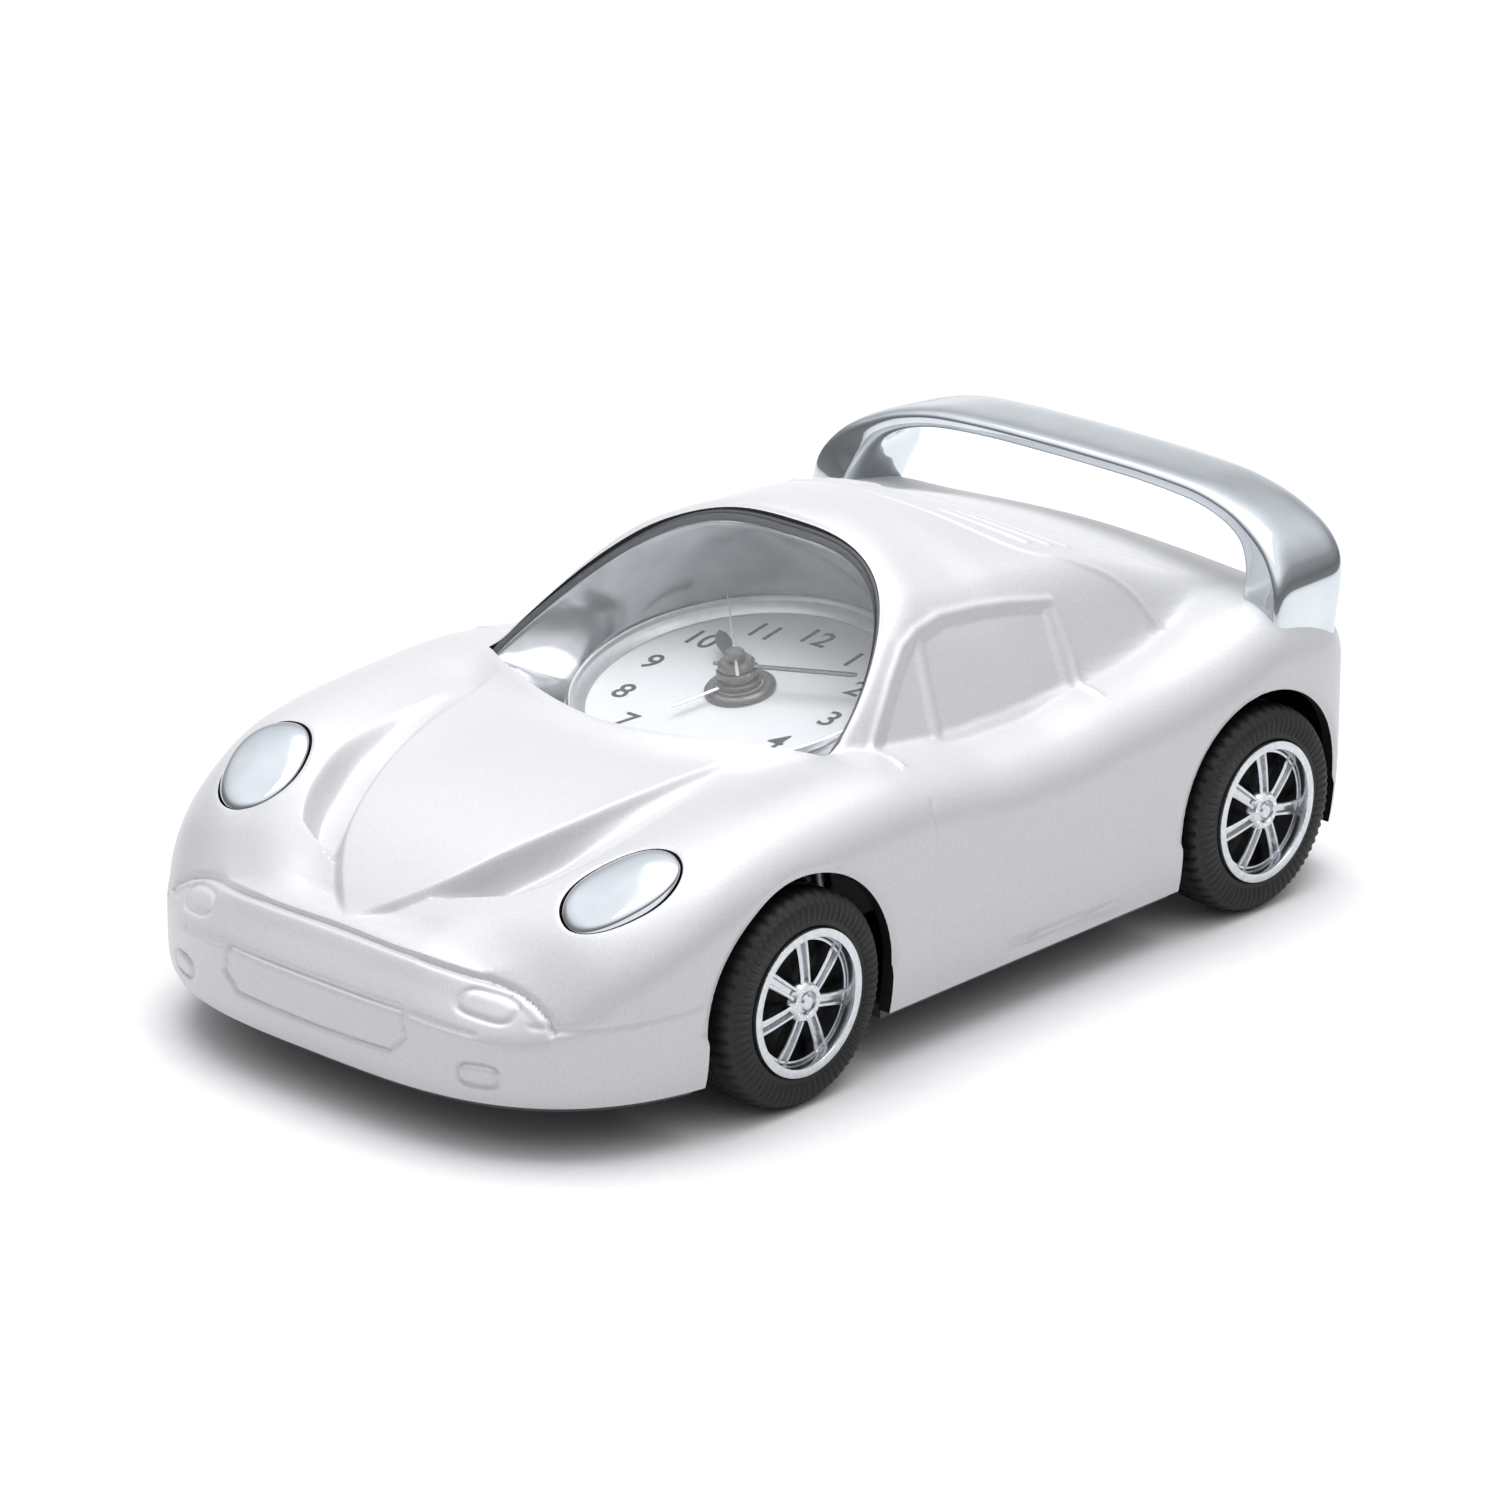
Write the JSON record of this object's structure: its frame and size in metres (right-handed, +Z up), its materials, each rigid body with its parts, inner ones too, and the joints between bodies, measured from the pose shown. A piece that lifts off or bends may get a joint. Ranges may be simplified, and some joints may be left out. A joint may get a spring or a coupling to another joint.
{
  "type": "toy sports car with desk clock",
  "caption": "Silver toy sports car with a quartz alarm clock under a clear windscreen, turning wheels, a pull-back motor and a chromed rear wing.",
  "frame": {"origin": "on the ground under the middle of the overall box", "axes": "+Z up, -Y towards the front bumper, +X towards the car's left side"},
  "size_m": [0.0834, 0.1424, 0.0524],
  "materials": {
    "silver_paint": "satin silver paint on ABS",
    "chrome_plate": "polished plating",
    "clear_lens": "clear acrylic",
    "dial_print": "printed card",
    "hand_grey": "painted aluminium",
    "white_plastic": "moulded ABS",
    "ivory_plastic": "moulded acetal",
    "brass": "machined",
    "steel": "bright steel",
    "copper_wire": "enamelled wire",
    "green_board": "solder mask",
    "tyre_rubber": "moulded rubber",
    "black_plastic": "moulded ABS",
    "grey_plastic": "moulded ABS",
    "cell_wrap": "printed sleeve"
  },
  "bodies": {
    "root": {"body_shell": "silver_paint", "rear_wing": "chrome_plate", "wing_screws": "steel", "headlight_left": "chrome_plate", "headlight_right": "chrome_plate", "windscreen": "clear_lens", "windscreen_gasket": "black_plastic", "dial_surround": "chrome_plate", "dial_bezel": "chrome_plate", "dial": "dial_print", "dial_nut": "chrome_plate", "movement_cover": "white_plastic", "movement_case": "white_plastic", "movement_plate": "ivory_plastic", "movement_screws": "steel", "stator": "steel", "coil": "copper_wire", "circuit_board": "green_board", "buzzer": "brass", "battery": "cell_wrap", "battery_contacts": "steel", "chassis": "grey_plastic", "chassis_screws": "steel", "motor_case_left": "grey_plastic", "motor_case_right": "grey_plastic", "mainspring": "steel"},
    "front_wheels": {"front_axle": "steel", "rim_front_left": "chrome_plate", "rim_front_right": "chrome_plate", "tyre_front_left": "tyre_rubber", "tyre_front_right": "tyre_rubber"},
    "rear_wheels": {"rear_axle": "steel", "rim_rear_left": "chrome_plate", "rim_rear_right": "chrome_plate", "tyre_rear_left": "tyre_rubber", "tyre_rear_right": "tyre_rubber", "axle_pinion": "ivory_plastic"},
    "spring_drum": {"spring_gear": "ivory_plastic"},
    "rotor_body": {"rotor": "steel"},
    "intermediate_body": {"intermediate_wheel": "ivory_plastic"},
    "second_body": {"second_wheel": "ivory_plastic", "second_hand": "hand_grey"},
    "third_body": {"third_wheel": "ivory_plastic"},
    "centre_body": {"centre_wheel": "brass"},
    "minute_body": {"cannon_pinion": "brass", "minute_hand": "hand_grey"},
    "motion_body": {"motion_wheel": "ivory_plastic"},
    "hour_body": {"hour_wheel": "ivory_plastic", "hour_hand": "hand_grey"},
    "time_set_body": {"time_set_shaft": "ivory_plastic", "time_set_knob": "ivory_plastic"},
    "alarm_body": {"alarm_wheel": "ivory_plastic", "alarm_hand": "hand_grey"},
    "alarm_set_body": {"alarm_set_shaft": "ivory_plastic", "alarm_set_knob": "ivory_plastic"},
    "switch_body": {"alarm_switch": "ivory_plastic"},
    "door_body": {"battery_door": "grey_plastic"}
  },
  "joints": [
    {"name": "front_axle_turn", "type": "hinge", "parent": "root", "child": "front_wheels", "pos_m": [0, -0.0322, 0.0131], "axis": [1, 0, 0], "continuous": true},
    {"name": "rear_axle_turn", "type": "hinge", "parent": "root", "child": "rear_wheels", "pos_m": [0, 0.0504, 0.0131], "axis": [1, 0, 0], "continuous": true},
    {"name": "spring_turn", "type": "hinge", "parent": "root", "child": "spring_drum", "pos_m": [0, 0.0504, 0.0229], "axis": [1, 0, 0], "continuous": true},
    {"name": "rotor_turn", "type": "hinge", "parent": "root", "child": "rotor_body", "pos_m": [0.0071, 0.01286, 0.03429], "axis": [0, 0.1942, -0.981], "continuous": true},
    {"name": "intermediate_turn", "type": "hinge", "parent": "root", "child": "intermediate_body", "pos_m": [0.0036, 0.00692, 0.03311], "axis": [0, 0.1942, -0.981], "continuous": true},
    {"name": "second_turn", "type": "hinge", "parent": "root", "child": "second_body", "pos_m": [0, 0.0008, 0.0319], "axis": [0, 0.1942, -0.981], "continuous": true},
    {"name": "third_turn", "type": "hinge", "parent": "root", "child": "third_body", "pos_m": [0.00425, -0.00642, 0.03047], "axis": [0, 0.1942, -0.981], "continuous": true},
    {"name": "centre_turn", "type": "hinge", "parent": "root", "child": "centre_body", "pos_m": [0, 0.0008, 0.0319], "axis": [0, 0.1942, -0.981], "continuous": true},
    {"name": "minute_turn", "type": "hinge", "parent": "root", "child": "minute_body", "pos_m": [0, 0.0008, 0.0319], "axis": [0, 0.1942, -0.981], "continuous": true},
    {"name": "motion_turn", "type": "hinge", "parent": "root", "child": "motion_body", "pos_m": [-0.00789, -0.00202, 0.03134], "axis": [0, 0.1942, -0.981], "continuous": true},
    {"name": "hour_turn", "type": "hinge", "parent": "root", "child": "hour_body", "pos_m": [0, 0.0008, 0.0319], "axis": [0, 0.1942, -0.981], "continuous": true},
    {"name": "time_set_turn", "type": "hinge", "parent": "root", "child": "time_set_body", "pos_m": [-0.01329, -0.00833, 0.03009], "axis": [0, 0.1942, -0.981], "continuous": true},
    {"name": "alarm_set_turn", "type": "hinge", "parent": "root", "child": "alarm_set_body", "pos_m": [-0.00866, 0.00571, 0.03287], "axis": [0, 0.1942, -0.981], "continuous": true},
    {"name": "alarm_turn", "type": "hinge", "parent": "root", "child": "alarm_body", "pos_m": [0, 0.0008, 0.0319], "axis": [0, 0.1942, -0.981], "continuous": true},
    {"name": "alarm_switch_slide", "type": "slide", "parent": "root", "child": "switch_body", "axis": [1, 0, 0], "range_m": [0, 0.004]},
    {"name": "battery_door_hinge", "type": "hinge", "parent": "root", "child": "door_body", "pos_m": [0, 0.02305, 0.00625], "axis": [-1, 0, 0], "range_deg": [0, 90]}
  ],
  "couplings": [
    {"joint": "spring_turn", "follows": "rear_axle_turn", "ratio": -0.4},
    {"joint": "intermediate_turn", "follows": "rotor_turn", "ratio": -0.16667},
    {"joint": "second_turn", "follows": "rotor_turn", "ratio": 0.033333},
    {"joint": "third_turn", "follows": "rotor_turn", "ratio": -0.0044444},
    {"joint": "centre_turn", "follows": "rotor_turn", "ratio": 0.00055556},
    {"joint": "motion_turn", "follows": "minute_turn", "ratio": -0.33333},
    {"joint": "hour_turn", "follows": "minute_turn", "ratio": 0.083333},
    {"joint": "time_set_turn", "follows": "minute_turn", "ratio": 1},
    {"joint": "alarm_turn", "follows": "alarm_set_turn", "ratio": -0.25}
  ]
}
